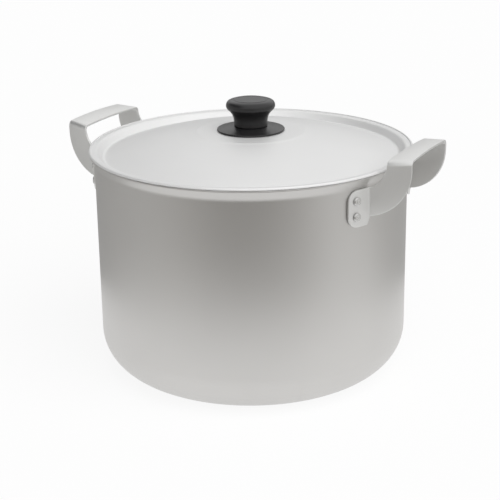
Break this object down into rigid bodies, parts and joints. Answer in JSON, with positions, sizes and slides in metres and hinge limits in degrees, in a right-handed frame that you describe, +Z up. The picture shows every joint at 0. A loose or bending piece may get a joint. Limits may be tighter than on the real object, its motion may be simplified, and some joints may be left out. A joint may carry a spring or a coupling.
{
  "type": "cooking pot",
  "caption": "Deep straight-walled aluminium cooking pot with a rounded base corner, flared lip, drop-in domed lid with a black knob, and riveted bent-strap side handles.",
  "frame": {"origin": "on the surface that the pot stands on, under the middle of its base", "axes": "+Z up through the knob, +X through both handles towards the one at the right of the picture, -Y towards the viewer"},
  "size_m": [0.3188, 0.273, 0.2314],
  "materials": {
    "spun_aluminium": "matt anodised, fine spun lines",
    "pressed_aluminium": "matt anodised, smooth",
    "handle_aluminium": "matt blasted grey",
    "rivet_aluminium": "satin",
    "black_phenolic": "moulded, half matt",
    "brass": "turned",
    "steel": "plated"
  },
  "bodies": {
    "pot": {"pot_body": "spun_aluminium", "handle_right": "handle_aluminium", "handle_left": "handle_aluminium", "rivet_right_front_upper": "rivet_aluminium", "rivet_right_front_lower": "rivet_aluminium", "rivet_right_back_upper": "rivet_aluminium", "rivet_right_back_lower": "rivet_aluminium", "rivet_left_front_upper": "rivet_aluminium", "rivet_left_front_lower": "rivet_aluminium", "rivet_left_back_upper": "rivet_aluminium", "rivet_left_back_lower": "rivet_aluminium"},
    "lid": {"lid_pan": "pressed_aluminium", "knob_head": "black_phenolic", "knob_skirt": "black_phenolic", "knob_insert": "brass", "knob_screw": "steel", "knob_washer": "steel"}
  },
  "joints": [
    {"name": "lid_lift", "type": "slide", "parent": "pot", "child": "lid", "axis": [0, 0, 1], "range_m": [0, 0.2]}
  ]
}
